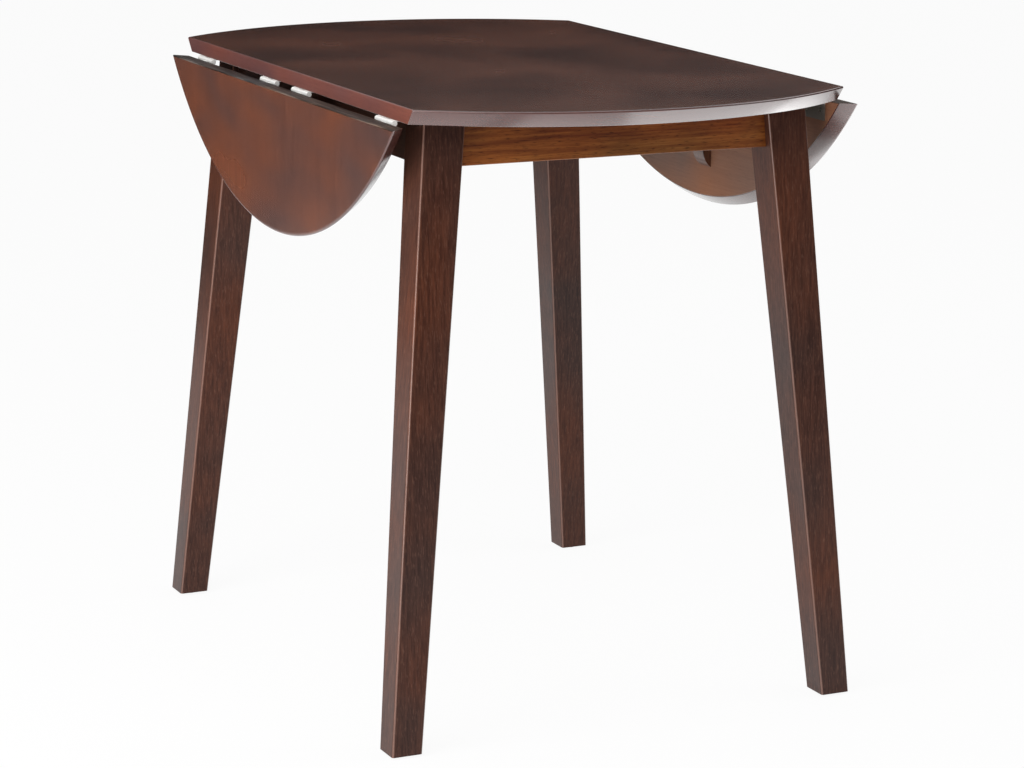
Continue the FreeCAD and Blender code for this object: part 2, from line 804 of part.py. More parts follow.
# Loper: the pull-out bar below the right leaf, with a finger groove under its nose
loper_bar = box(
    "loper_bar",
    "sizes.loper_length",
    "sizes.loper_width",
    "sizes.loper_height",
    "layout.loper_inner_x",
    "-sizes.support_offset - sizes.loper_width / 2",
    "layout.loper_bottom",
)
doc.recompute()
loper_nosed = rounded(
    "loper_nosed",
    loper_bar,
    sizes.loper_nose_radius,
    lambda edge: edge.BoundBox.XMin > layout.loper_nose_x - 1e-6 and not lies_flat(edge),
)
groove_middle_z = "layout.loper_bottom + sizes.finger_groove_depth - sizes.finger_groove_radius"
finger_groove = cylinder(
    "finger_groove",
    "sizes.finger_groove_radius",
    "sizes.loper_width",
    "layout.loper_nose_x - sizes.finger_groove_inset",
    "-sizes.support_offset - sizes.loper_width / 2",
    groove_middle_z,
    ALONG_Y,
)
dowel_x = "layout.loper_inner_x + sizes.stop_dowel_inset"
dowel_z = "layout.loper_top - sizes.stop_dowel_depth"
dowel_hole = cylinder(
    "dowel_hole",
    "sizes.stop_dowel_diameter / 2 + sizes.running_clearance",
    "sizes.stop_dowel_depth",
    dowel_x,
    "-sizes.support_offset",
    dowel_z,
)
keep_pair("right_loper", cut("loper_finished", loper_nosed, [finger_groove, dowel_hole]))
stop_dowel = cylinder(
    "stop_dowel",
    "sizes.stop_dowel_diameter / 2",
    "sizes.stop_dowel_depth + sizes.stop_dowel_height",
    dowel_x,
    "-sizes.support_offset",
    dowel_z,
)
keep("loper_stop_dowels", with_turned("loper_stop_dowels_group", [stop_dowel]))

# Keeper: the bridge under the panel that the loper's inner end slides in
keeper_block = box(
    "keeper_block",
    "sizes.keeper_length",
    "sizes.keeper_width",
    "layout.underside - layout.keeper_bottom",
    "sizes.keeper_place",
    "-sizes.support_offset - sizes.keeper_width / 2",
    "layout.keeper_bottom",
)
keeper_slot = box(
    "keeper_slot",
    "sizes.keeper_length",
    "layout.slide_width",
    "layout.slide_height",
    "sizes.keeper_place",
    slide_y,
    slide_z,
)
keeper_height = "layout.underside - layout.keeper_bottom"
keeper_holes = [
    screw_hole(f"keeper_hole_{number}", x, y, "layout.keeper_bottom", keeper_height)
    for number, (x, y) in enumerate(keeper_screw_places())
]
keep_pair("right_loper_keeper", cut("keeper_finished", keeper_block, [keeper_slot] + keeper_holes))
keeper_screw = top_screw("keeper_screw", f"({keeper_height})")
keeper_screws = [
    placed(f"keeper_screw_{number}", keeper_screw, x, y, "layout.keeper_bottom")
    for number, (x, y) in enumerate(keeper_screw_places())
]
keep("keeper_screws", with_turned("keeper_screws_group", keeper_screws))

doc.recompute()
for obj in doc.Objects:
    if "Invalid" in obj.State or "Error" in obj.State:
        raise RuntimeError(f"{obj.Label} did not build: {obj.State}")
for name, piece in subparts.items():
    if piece.Label != name or piece.Shape.isNull() or not piece.Shape.isValid():
        raise RuntimeError(f"{name} has no valid shape")

os.makedirs("parts", exist_ok=True)
for name, piece in subparts.items():
    piece.Shape.exportStep(f"parts/{name}.step")
print(len(subparts), "sub-parts,", sum(len(piece.Shape.Solids) for piece in subparts.values()), "solids")
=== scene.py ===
# %% [markdown]
# # A round drop-leaf dining table
# The imported CAD model is the fixed frame: it says where every piece is and how the leaves swing. This
# script dresses it. The frame is loaded first, and its pieces are kept, so that the dressing can take sizes
# and places from them.

# %% Load the frame
import json
import math

import bpy
from mathutils import Matrix, Vector

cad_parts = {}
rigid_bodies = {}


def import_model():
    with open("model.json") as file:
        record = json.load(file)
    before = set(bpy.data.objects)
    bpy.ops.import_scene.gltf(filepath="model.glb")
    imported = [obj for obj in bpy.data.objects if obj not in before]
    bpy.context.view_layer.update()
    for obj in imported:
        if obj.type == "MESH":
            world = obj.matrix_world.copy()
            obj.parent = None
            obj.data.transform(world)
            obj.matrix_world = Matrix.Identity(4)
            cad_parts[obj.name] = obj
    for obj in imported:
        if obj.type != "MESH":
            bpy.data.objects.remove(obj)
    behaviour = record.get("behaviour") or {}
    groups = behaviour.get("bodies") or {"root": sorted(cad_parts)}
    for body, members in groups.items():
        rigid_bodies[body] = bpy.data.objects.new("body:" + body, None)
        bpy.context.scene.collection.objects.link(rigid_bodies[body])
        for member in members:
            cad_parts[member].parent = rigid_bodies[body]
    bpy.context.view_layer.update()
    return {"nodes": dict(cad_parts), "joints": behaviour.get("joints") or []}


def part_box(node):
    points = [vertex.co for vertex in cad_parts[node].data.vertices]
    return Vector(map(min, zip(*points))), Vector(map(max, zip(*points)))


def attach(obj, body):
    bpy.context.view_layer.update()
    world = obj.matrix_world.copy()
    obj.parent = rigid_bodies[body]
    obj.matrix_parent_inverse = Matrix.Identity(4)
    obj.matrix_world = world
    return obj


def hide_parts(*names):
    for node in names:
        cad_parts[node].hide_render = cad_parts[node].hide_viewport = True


for leftover in list(bpy.data.objects):
    bpy.data.objects.remove(leftover)

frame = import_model()
nodes = frame["nodes"]
joints = {joint["name"]: joint for joint in frame["joints"]}
PIN = Vector(joints["right_leaf_hinge"]["pos_m"])

# %% [markdown]
# ## Colours and nodes
# Paint and stain colours are picked in sRGB, the way a colour picker shows them, while Blender's shaders
# count in linear light, so one function turns the first into the second. A second small function adds a
# node: its settings, the values of its inputs and its links go in together, which keeps a material short
# enough to read. Three more make the nodes that every tree uses: arithmetic, a change of range and a mix.

# %% Colour and node helpers
MM = 0.001
SMOOTH_ANGLE = math.radians(35)                  # edges that turn by more than this stay sharp
SQUARE = ((-1, -1), (1, -1), (1, 1), (-1, 1))    # the corners of a sheet
# the mix node's sockets, which share their names: first, second and result
NUMBER_SOCKETS = (2, 3, 0)
COLOUR_SOCKETS = (6, 7, 2)


def linear(hex_colour):
    """An sRGB hex colour as linear red, green, blue and a full alpha."""
    channels = [int(hex_colour[start:start + 2], 16) / 255 for start in (1, 3, 5)]
    return [c / 12.92 if c <= 0.04045 else ((c + 0.055) / 1.055) ** 2.4 for c in channels] + [1.0]


def add_node(tree, kind, sockets=None, **settings):
    """One node with its settings, and a value or a link for each named input."""
    node = tree.nodes.new(kind)
    for name, value in settings.items():
        setattr(node, name, value)
    for name, value in (sockets or {}).items():
        socket = node.inputs[name]
        if isinstance(value, bpy.types.NodeSocket):
            tree.links.new(value, socket)
        else:
            socket.default_value = value
    return node


def calculate(tree, operation, first, second=None):
    """The result of one arithmetic node."""
    values = {0: first} if second is None else {0: first, 1: second}
    return add_node(tree, "ShaderNodeMath", values, operation=operation).outputs[0]


def rescale(tree, value, start, end, low=0.0, high=1.0):
    """A value taken from one range to another, and held inside it."""
    ranges = {"Value": value, "From Min": start, "From Max": end, "To Min": low, "To Max": high}
    return add_node(tree, "ShaderNodeMapRange", ranges).outputs["Result"]


def mix(tree, share, first, second, kind="RGBA", **settings):
    """Two colours, or two numbers, mixed by a share."""
    one, other, result = COLOUR_SOCKETS if kind == "RGBA" else NUMBER_SOCKETS
    sockets = {"Factor": share, one: first, other: second}
    return add_node(tree, "ShaderNodeMix", sockets, data_type=kind, **settings).outputs[result]


def new_material(name):
    """An empty node material and its tree."""
    material = bpy.data.materials.new(name)
    material.use_nodes = True
    material.node_tree.nodes.clear()
    return material, material.node_tree


def surface(tree, sockets):
    """A principled shader as the tree's surface."""
    shader = add_node(tree, "ShaderNodeBsdfPrincipled", sockets)
    add_node(tree, "ShaderNodeOutputMaterial", {"Surface": shader.outputs["BSDF"]})


print("walnut stain in linear light", [round(c, 4) for c in linear("#4a2e26")])

# %% [markdown]
# ## The stained wood
# The table is a pale tropical hardwood under a dark walnut stain and a sprayed semi-gloss lacquer. The eye
# gets four things from it: broad lazy figure along the board, fine fibre lines, short dark pores, and
# clouds where the stain took unevenly, whose grey side is partly a painted sheen. An image could hold all
# that, but it would stretch on other boards, so each is a noise texture pulled out along the grain, at a size
# given in millimetres. Every board has its own grain direction, so the pattern is turned before it is
# stretched.

# %% Wood builder
FIGURE_LENGTH = 420 * MM
FIGURE_WIDTH = 46 * MM
FIBRE_LENGTH = 70 * MM
FIBRE_WIDTH = 2.4 * MM                  # real fibres are finer; this is as coarse as it must be to show
PORE_LENGTH = 11 * MM
PORE_WIDTH = 1.1 * MM                   # real pores are about 0.3 mm wide, too fine for the picture
CLOUD_SIZE = 130 * MM
GRAIN_RELIEF = 0.15 * MM
NOISE_LOW, NOISE_HIGH = 0.3, 0.7        # where nearly all of a noise lies
STAIN_STOPS = (0.36, 0.5, 0.66)         # where the grain is dark, middling and light
PORE_START, PORE_FULL = 0.56, 0.72      # only the peaks of the noise are pores
SHEEN_LOW, SHEEN_HIGH = 0.9, 1.15       # shares of a finish's own roughness
LACQUER_IOR = 1.5
LACQUER_ROUGHNESS = 0.16
ARRIS_STAIN_AND_HIGHLIGHT = "#8f6a5c"                 # lighter on a rounded corner: partly stain rubbed thin, partly a painted highlight
ARRIS_WEAR_AND_HIGHLIGHT = 0.45
ARRIS_START, ARRIS_FULL = 0.25, 0.55    # how far a corner is turned from both of its faces
COOL_CLOUD_AND_SHEEN = (-1.0, -0.25, 0.5)         # thick stain and a painted grey sheen: less red, more grey
WARM_CLOUD = (1.3, 0.3, -0.7)           # thin stain: more orange
GRAIN_ALONG = {
    "x": (0, 0, 0),
    "y": (0, 0, math.radians(-90)),
    "z": (0, math.radians(90), 0),
    "diagonal": (0, 0, math.radians(-45)),
    "counter_diagonal": (0, 0, math.radians(45)),
}


def stained_wood(
    name,
    grain,
    dark,
    middle,
    light,
    roughness,
    shift=(0, 0, 0),
    specular=0.3,
    coat=0.25,
    fibre_share=0.42,
    pore_stain="#160d0a",
    pore_weight=0.45,
    unevenness=0.28,
    cloud_size=CLOUD_SIZE,
    cloud_stretch=1.3,
    relief=0.12,
    arris_coat=None,
):
    """Stained hardwood with its grain along one direction, under lacquer.

    An arris coat is the thicker lacquer on the rounded upright corners, which are also lighter: partly stain
    rubbed thin, partly a painted highlight.
    """
    material, tree = new_material(name)
    place = add_node(tree, "ShaderNodeTexCoord").outputs
    turned = add_node(
        tree,
        "ShaderNodeMapping",
        {"Vector": place["Object"], "Rotation": GRAIN_ALONG[grain], "Location": shift},
    ).outputs["Vector"]

    def streaks(length, width, detail, distortion):
        stretched = add_node(
            tree,
            "ShaderNodeMapping",
            {"Vector": turned, "Scale": (1 / length, 1 / width, 1 / width)},
        ).outputs["Vector"]
        return add_node(
            tree,
            "ShaderNodeTexNoise",
            {"Vector": stretched, "Scale": 1.0, "Detail": detail, "Distortion": distortion},
        ).outputs["Fac"]

    figure = streaks(FIGURE_LENGTH, FIGURE_WIDTH, detail=3.0, distortion=0.3)
    fibre = streaks(FIBRE_LENGTH, FIBRE_WIDTH, detail=4.0, distortion=0.1)
    pore = streaks(PORE_LENGTH, PORE_WIDTH, detail=2.0, distortion=0.0)
    cloud = streaks(cloud_stretch * cloud_size, cloud_size, detail=1.5, distortion=0.3)

    # figure and fibre choose the stain, clouds tint it, and pores lie on top
    grain_mix = mix(tree, fibre_share, figure, fibre, kind="FLOAT")
    ramp = add_node(tree, "ShaderNodeValToRGB", {"Fac": grain_mix})
    ramp.color_ramp.elements.new(STAIN_STOPS[1])
    for stop, position, stain in zip(ramp.color_ramp.elements, STAIN_STOPS, (dark, middle, light)):
        stop.position = position
        stop.color = linear(stain)

    taken = rescale(tree, cloud, NOISE_LOW, NOISE_HIGH)
    # the grey side of the clouds is partly a painted sheen, the orange side thin stain
    cool_and_sheen = [1 + unevenness * share for share in COOL_CLOUD_AND_SHEEN] + [1.0]
    warm = [1 + unevenness * share for share in WARM_CLOUD] + [1.0]
    uneven = mix(tree, taken, cool_and_sheen, warm)
    clouded = mix(tree, 1.0, ramp.outputs["Color"], uneven, blend_type="MULTIPLY")
    pore_depth = rescale(tree, pore, PORE_START, PORE_FULL, 0.0, pore_weight)
    colour = mix(tree, pore_depth, clouded, linear(pore_stain))

    # a rounded corner faces along X and Y at once, a flat side along one of them
    if arris_coat is not None:
        facing = add_node(tree, "ShaderNodeSeparateXYZ", {"Vector": place["Normal"]}).outputs
        turned_from = [calculate(tree, "ABSOLUTE", facing[axis]) for axis in ("X", "Y")]
        rounded = rescale(tree, calculate(tree, "MINIMUM", *turned_from), ARRIS_START, ARRIS_FULL)
        # the corner is made lighter: partly stain rubbed thin, partly a painted highlight line
        thinned_and_lit = calculate(tree, "MULTIPLY", rounded, ARRIS_WEAR_AND_HIGHLIGHT)
        colour = mix(tree, thinned_and_lit, colour, linear(ARRIS_STAIN_AND_HIGHLIGHT))
        coat = rescale(tree, rounded, 0.0, 1.0, coat, arris_coat)

    sheen = rescale(tree, cloud, NOISE_LOW, NOISE_HIGH, SHEEN_LOW * roughness, SHEEN_HIGH * roughness)
    bump = {"Height": fibre, "Strength": relief, "Distance": GRAIN_RELIEF}
    surface(
        tree,
        {
            "Base Color": colour,
            "Roughness": sheen,
            "Normal": add_node(tree, "ShaderNodeBump", bump).outputs["Normal"],
            "IOR": LACQUER_IOR,
            "Specular IOR Level": specular,
            "Coat Weight": coat,
            "Coat Roughness": LACQUER_ROUGHNESS,
            "Coat IOR": LACQUER_IOR,
        },
    )
    return material


# %% [markdown]
# The boards differ a little. The top and leaves are dark red-brown, and their turned rims were sprayed
# twice, so they shine most. The straight sawn edges came out redder, the leaves' own hinge edges were hardly
# lacquered, and the undersides got one thin coat.

# %% Finishes of the top
FACE_STAIN = ("#53342b", "#5a392f", "#613e33")
FACE_LOOK = {
    "roughness": 0.24,
    "specular": 0.38,
    "coat": 0.45,
    "fibre_share": 0.9,
    "pore_weight": 0.14,
    "cloud_size": 160 * MM,
    "relief": 0.05,
}
# calm dark face with soft clouds, in which the room shows as a broad sheen
top_wood = stained_wood(
    "walnut_stained_top", "x", *FACE_STAIN, unevenness=0.22, cloud_stretch=1.0, **FACE_LOOK
)
# the same face on another board: its own clouds, shifted so that a warm one brightens the upper left of the
# hanging leaf as a painted patch of light, and grain that runs down when it hangs
leaf_wood = stained_wood(
    "walnut_stained_leaf",
    "z",
    *FACE_STAIN,
    shift=(0.7, 0.3, 0),
    unevenness=0.3,
    cloud_stretch=0.5,
    **FACE_LOOK,
)
# darker and glossiest: the bright line round the top
rim_wood = stained_wood(
    "walnut_stained_rim",
    "x",
    "#452420",
    "#4a2723",
    "#502b26",
    roughness=0.24,
    specular=0.5,
    coat=1.0,
    pore_weight=0.1,
    unevenness=0.12,
    relief=0.02,
)
# a redder straight edge, which sets the panel off from the leaf
sawn_edge_wood = stained_wood(
    "walnut_stained_sawn_edge",
    "y",
    "#5f3832",
    "#663e38",
    "#6d453e",
    roughness=0.3,
    specular=0.4,
    pore_weight=0.3,
)
# rough and streaky, nearly bare: the dark line in the gap
hinge_edge_wood = stained_wood(
    "walnut_stained_hinge_edge",
    "y",
    "#16110e",
    "#2e2520",
    "#6b5c53",
    roughness=0.5,
    specular=0.15,
    coat=0.0,
    fibre_share=0.8,
    pore_weight=0.7,
)
# pale and dull: the inner face of the hanging right leaf
underside_wood = stained_wood(
    "walnut_stained_underside",
    "y",
    "#7d5d4d",
    "#876453",
    "#8f6c59",
    roughness=0.45,
    coat=0.1,
    pore_weight=0.15,
)
print("finishes of the top made")

# %% [markdown]
# The frame got the same stain with less care. The end aprons took it weakly and show orange-brown grain with
# dark pores, while the legs show pale ones. The rounded corners of the legs are rubbed thin and then take
# more lacquer, and their lighter colour is partly a painted highlight. Bars, battens and blocks are hidden,
# so they were stained without much sanding.

# %% Finishes of the frame
HIDDEN_STAIN = ("#33201a", "#4d3327", "#644638")
# dark, with fine pale flecks and a line of light down each corner, partly a painted highlight
leg_wood = stained_wood(
    "walnut_stained_leg",
    "z",
    "#361e17",
    "#42271e",
    "#4f2f24",
    roughness=0.36,
    specular=0.16,
    coat=0.12,
    fibre_share=0.75,
    pore_stain="#8c6453",
    pore_weight=0.2,
    arris_coat=1.0,
)
# the one warm board: orange between dark pores
end_apron_wood = stained_wood(
    "walnut_stained_end_apron",
    "x",
    "#622d13",
    "#84461c",
    "#9c5a27",
    roughness=0.45,
    specular=0.15,
    coat=0.05,
    fibre_share=0.5,
    pore_stain="#1d0f08",
    pore_weight=0.75,
)
# nearly black: the stain darkened further as painted shade of the leaves
side_apron_painted_shade_wood = stained_wood(
    "walnut_side_apron_painted_shade", "y", "#281812", "#352019", "#432a21", roughness=0.4
)
# plain dull brown, except for the batten, whose round nose shows and shines
bar_wood = stained_wood("walnut_stained_bar", "x", *HIDDEN_STAIN, roughness=0.5, coat=0.1)
batten_wood = stained_wood("walnut_stained_batten", "z", *HIDDEN_STAIN, roughness=0.28, coat=0.4)
block_woods = {
    grain: stained_wood(name, grain, *HIDDEN_STAIN, roughness=0.5)
    for grain, name in (
        ("diagonal", "walnut_stained_block"),
        ("counter_diagonal", "walnut_stained_counter_block"),
    )
}
print("finishes of the frame made")

# %% [markdown]
# ## Metal and nylon
# The hinges are pressed steel under satin nickel, rolled round their pins, so the knuckles catch the light
# as broad pale bands. The colour follows the distance from the pin: pale on the knuckles, partly their polish
# from turning and partly a painted highlight, and darker on the flat plates, partly dull metal and partly
# painted shade. Screws, nuts and washers are zinc plated, which is greyer. The glides are moulded dark nylon.
# Small blotches in the roughness are what keep plated metal from looking like paint.

# %% Metal and nylon finishes
PLATING_BLOTCH = 3 * MM
KNUCKLE_RADIUS = 4 * MM
NYLON_GRAIN = 0.8 * MM
NYLON_RELIEF = 0.1 * MM
NYLON_RELIEF_SHARE = 0.2
NYLON_ROUGHNESS = 0.5
NYLON_IOR = 1.53


def fine_noise(tree, place, size, detail):
    """An even noise of one grain size."""
    sockets = {"Vector": place, "Scale": 1 / size, "Detail": detail}
    return add_node(tree, "ShaderNodeTexNoise", sockets).outputs["Fac"]


def worn_lit_and_shaded_from_pin(tree, place, bright, dull):
    """The bright colour on the knuckles, partly a painted highlight, and the dull one on the plates, partly
    painted shade, by distance from the pin.
    """
    across = add_node(tree, "ShaderNodeSeparateXYZ", {"Vector": place}).outputs
    side = calculate(tree, "ABSOLUTE", across["X"])
    folded = add_node(tree, "ShaderNodeCombineXYZ", {"X": side, "Z": across["Z"]}).outputs[0]
    from_pin = add_node(
        tree, "ShaderNodeVectorMath", {0: folded, 1: (PIN.x, 0, PIN.z)}, operation="DISTANCE"
    ).outputs["Value"]
    # pale knuckles are partly a painted highlight, and the darker plates partly painted shade
    worn_and_shaded = rescale(tree, from_pin, KNUCKLE_RADIUS, 2 * KNUCKLE_RADIUS)
    return mix(tree, worn_and_shaded, linear(bright), linear(dull))


def plated_steel(name, colour, low, high, dull=None, metallic=1.0):
    """Plated steel whose roughness varies in small blotches, and which may be darker away from the pins,
    partly as painted shade.
    """
    material, tree = new_material(name)
    place = add_node(tree, "ShaderNodeTexCoord").outputs["Object"]
    blotch = fine_noise(tree, place, PLATING_BLOTCH, detail=3.0)
    surface(
        tree,
        {
            "Base Color": worn_lit_and_shaded_from_pin(tree, place, colour, dull) if dull else linear(colour),
            "Metallic": metallic,
            "Roughness": rescale(tree, blotch, NOISE_LOW, NOISE_HIGH, low, high),
        },
    )
    return material


def moulded_nylon(name, colour):
    """Dark nylon with the fine grain of its mould."""
    material, tree = new_material(name)
    place = add_node(tree, "ShaderNodeTexCoord").outputs["Object"]
    grain = fine_noise(tree, place, NYLON_GRAIN, detail=2.0)
    bump = {"Height": grain, "Strength": NYLON_RELIEF_SHARE, "Distance": NYLON_RELIEF}
    surface(
        tree,
        {
            "Base Color": linear(colour),
            "Roughness": NYLON_ROUGHNESS,
            "IOR": NYLON_IOR,
            "Normal": add_node(tree, "ShaderNodeBump", bump).outputs["Normal"],
        },
    )
    return material


# pale satin knuckles that stand out in the gap, partly a painted highlight, on dull plates, partly painted
# shade
hinge_nickel = plated_steel(
    "satin_nickel_plate", "#f8f7f4", low=0.48, high=0.62, dull="#7b766e", metallic=0.45
)
# grey metal with a soft sparkle under the table
fastener_zinc = plated_steel("zinc_plate", "#b7b5ac", low=0.32, high=0.46)
# a dark, dull line between foot and floor
glide_nylon = moulded_nylon("moulded_dark_nylon", "#1f1815")
print("metal and nylon finishes made")

# %% [markdown]
# ## Dressing the CAD pieces
# Legs, aprons, hinges, blocks and bars already have their true shape in the CAD model, rounded edges
# included, so they keep their meshes and only take a finish. The name of each node says what it is.


# %% Finish of each CAD node
def finish_of(name):
    """The material of a CAD node, from its name."""
    if name.endswith("_leg"):
        return leg_wood
    if name in ("front_apron", "rear_apron"):
        return end_apron_wood
    if name.endswith("_apron"):
        return side_apron_painted_shade_wood
    if name.endswith("_batten"):
        return batten_wood
    if name.endswith("_corner_block"):
        counter = name.startswith(("front_left", "rear_right"))
        return block_woods["counter_diagonal" if counter else "diagonal"]
    if name.endswith("_glide"):
        return glide_nylon
    if name.endswith(("_fixed_plate", "_moving_plate", "_pin")):
        return hinge_nickel
    if name.endswith(("screws", "bolts", "washers", "nuts")):
        return fastener_zinc
    return bar_wood


for node_name, node in nodes.items():
    for material_slot in node.material_slots:
        material_slot.material = finish_of(node_name)
print("dressed", len(nodes), "CAD nodes")

# %% [markdown]
# ## The round top
# The top is one turned disc, sawn into a panel and two leaves. Its rim leans in towards the underside, and
# every edge is slightly rounded. The CAD mesh shows the round rim in flat steps that a glossy lacquer gives
# away, so the three pieces are drawn again with many more steps: the outline is worked out at each height
# of the edge profile, and the outlines are joined like the hoops of a barrel.

# %% Edge profile of the top
TOP_RADIUS = 457 * MM
RIM_UNDERCUT = 12 * MM
LEAF_FULLNESS = 0.964      # a leaf is a little shallower than the panel's own circle
ARRIS = 1.5 * MM
ARRIS_STEPS = 8
FLAT_MARGIN = 3 * MM       # a flat ring inside each edge, which keeps the smooth shading off the face
ARC_STEPS = 160
EDGE_STEPS = 60

panel_low, panel_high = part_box("top_panel")
THICKNESS = panel_high.z - panel_low.z
RIM_LEAN = math.atan2(RIM_UNDERCUT, THICKNESS)


def square_edge_inset(height):
    """How far the rounded square edge stands back at a height above the underside."""
    past = max(ARRIS - height, height - (THICKNESS - ARRIS), 0)
    return ARRIS - math.sqrt(max(ARRIS ** 2 - past ** 2, 0))


def edge_profile():
    """Rows of height above the underside, inset of the rim and inset of the straight edges."""
    upper_inset = ARRIS / math.tan((math.pi / 2 - RIM_LEAN) / 2)
    lower_inset = RIM_UNDERCUT + ARRIS / math.tan((math.pi / 2 + RIM_LEAN) / 2)
    upper = []
    lower = []
    for step in range(ARRIS_STEPS + 1):
        share = step / ARRIS_STEPS
        upper_angle = math.pi / 2 - share * (math.pi / 2 + RIM_LEAN)
        lower_angle = -RIM_LEAN - share * (math.pi / 2 - RIM_LEAN)
        upper_height = THICKNESS - ARRIS + ARRIS * math.sin(upper_angle)
        lower_height = ARRIS + ARRIS * math.sin(lower_angle)
        upper.append((upper_height, upper_inset - ARRIS * math.cos(upper_angle)))
        lower.append((lower_height, lower_inset - ARRIS * math.cos(lower_angle)))
    rows = [(height, inset, square_edge_inset(height)) for height, inset in upper + lower]
    first = (THICKNESS, upper_inset + FLAT_MARGIN, ARRIS + FLAT_MARGIN)
    last = (0, lower_inset + FLAT_MARGIN, ARRIS + FLAT_MARGIN)
    return [first] + rows + [last]


profile = edge_profile()
print("edge profile rows", len(profile), "thickness", round(THICKNESS, 4))

# %% [markdown]
# At each height the panel's outline is two arcs and two straight edges, and a leaf's is one of each. The rim
# leans and the sawn edges do not, so they meet in a corner that moves with the height. A profile swept along
# the outline in Geometry Nodes would blunt that corner and mix the two finishes, so the points are worked out
# here and joined in plain mesh code.


# %% Outline of the top at one height
def between(start, end, steps):
    """Evenly spaced values from start to end, both included."""
    return [start + (end - start) * step / steps for step in range(steps + 1)]


def straight_run(start, end):
    """Points on a straight edge between two corners, the corners left out."""
    return [start.lerp(end, step / EDGE_STEPS) for step in range(1, EDGE_STEPS)]


def panel_outline(rim_inset, edge_inset, half_width):
    """The panel's outline, anticlockwise from its front left corner."""
    radius = TOP_RADIUS - rim_inset
    swing = math.asin((half_width - edge_inset) / radius)
    front = [Vector((radius * math.sin(a), -radius * math.cos(a))) for a in between(-swing, swing, ARC_STEPS)]
    rear = [-point for point in front]
    return front + straight_run(front[-1], rear[0]) + rear + straight_run(rear[-1], front[0])


def leaf_outline(rim_inset, edge_inset, hinge_edge):
    """The raised right leaf's outline, anticlockwise from its front corner."""
    depth = LEAF_FULLNESS * (TOP_RADIUS - hinge_edge)
    whole_radius = (TOP_RADIUS ** 2 - hinge_edge ** 2 + depth ** 2) / (2 * depth)
    middle = hinge_edge + depth - whole_radius
    radius = whole_radius - rim_inset
    swing = math.acos((hinge_edge + edge_inset - middle) / radius)
    rim = [
        Vector((middle + radius * math.cos(a), radius * math.sin(a)))
        for a in between(-swing, swing, ARC_STEPS)
    ]
    return rim + straight_run(rim[-1], rim[0])


FACE, UNDERSIDE, RIM, SAWN_EDGE = range(4)


def board(name, outline, cut_line, finishes, settle):
    """A piece of the top from its outlines at each height; the settle matrix puts it in its place."""
    hoops = [
        [settle @ Vector((*point, panel_low.z + height)) for point in outline(rim, edge, cut_line)]
        for height, rim, edge in profile
    ]
    count = len(hoops[0])
    last_row = len(hoops) - 2
    faces = [tuple(range(count)), tuple(reversed(range(count * (len(hoops) - 1), count * len(hoops))))]
    kinds = [FACE, UNDERSIDE]
    for row in range(len(hoops) - 1):
        for step in range(count):
            after = (step + 1) % count
            upper = row * count
            lower = upper + count
            faces.append((upper + step, lower + step, lower + after, upper + after))
            side = RIM if step % (ARC_STEPS + EDGE_STEPS) < ARC_STEPS else SAWN_EDGE
            kinds.append({0: FACE, last_row: UNDERSIDE}.get(row, side))
    mesh = bpy.data.meshes.new(name)
    mesh.from_pydata([point for hoop in hoops for point in hoop], [], faces)
    mesh.shade_smooth()
    mesh.set_sharp_from_angle(angle=SMOOTH_ANGLE)
    for finish in finishes:
        mesh.materials.append(finish)
    mesh.polygons.foreach_set("material_index", kinds)
    piece = bpy.data.objects.new(name, mesh)
    bpy.context.scene.collection.objects.link(piece)
    print(name, "faces", len(mesh.polygons))
    return piece


# %% [markdown]
# The panel goes straight where the CAD panel is. A leaf is drawn raised, in line with the panel, because that
# is how it was sawn from the disc, and is then swung down about its hinge pin. The left leaf is the right one
# after half a turn of the table.

# %% Panel and leaves
LEAF_GAP = 2 * (PIN.x - panel_high.x)
SWING_DOWN = Matrix.Translation(PIN) @ Matrix.Rotation(math.pi / 2, 4, "Y") @ Matrix.Translation(-PIN)
HALF_TURN = Matrix.Rotation(math.pi, 4, "Z")
AS_DRAWN = Matrix.Identity(4)

panel_finishes = (top_wood, underside_wood, rim_wood, sawn_edge_wood)
leaf_finishes = (leaf_wood, underside_wood, rim_wood, hinge_edge_wood)
top_panel = board("round_top_panel", panel_outline, panel_high.x, panel_finishes, AS_DRAWN)
leaf_edge = panel_high.x + LEAF_GAP
right_leaf = board("round_top_right_leaf", leaf_outline, leaf_edge, leaf_finishes, SWING_DOWN)
left_leaf = board("round_top_left_leaf", leaf_outline, leaf_edge, leaf_finishes, HALF_TURN @ SWING_DOWN)
for piece, body, node_name in (
    (top_panel, "frame", "top_panel"),
    (right_leaf, "right_leaf", "right_leaf"),
    (left_leaf, "left_leaf", "left_leaf"),
):
    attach(piece, body)
    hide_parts(node_name)

# %% [markdown]
# ## Screws
# Each hinge plate is held by countersunk screws, and the corner blocks and bridges by round-headed ones.
# All are the same idea at other sizes: a head with a cross-shaped recess, and a tapering shank. One
# Geometry Nodes tree makes the screw from its sizes and sets one on every point of a small point mesh,
# turned to the way that the point carries. The tree's result is then kept as a plain mesh for each body.

# %% Screw tree
HEAD_SIDES = 32
SHANK_SIDES = 20
SLOT_WIDTH_SHARE = 0.26     # of the recess's span
SLOT_DEPTH_SHARE = 1.3      # of the head's height, counted on both sides of its outer face
TIP_SHARE = 0.25            # of the shank's radius


def sized_tree(name, sizes):
    """An empty tree with points, named sizes and a finish coming in, and geometry going out."""
    tree = bpy.data.node_groups.new(name, "GeometryNodeTree")
    tree.interface.new_socket("Geometry", in_out="INPUT", socket_type="NodeSocketGeometry")
    for size in sizes:
        tree.interface.new_socket(size, in_out="INPUT", socket_type="NodeSocketFloat")
    tree.interface.new_socket("Finish", in_out="INPUT", socket_type="NodeSocketMaterial")
    tree.interface.new_socket("Geometry", in_out="OUTPUT", socket_type="NodeSocketGeometry")
    return tree, tree.nodes.new("NodeGroupInput").outputs


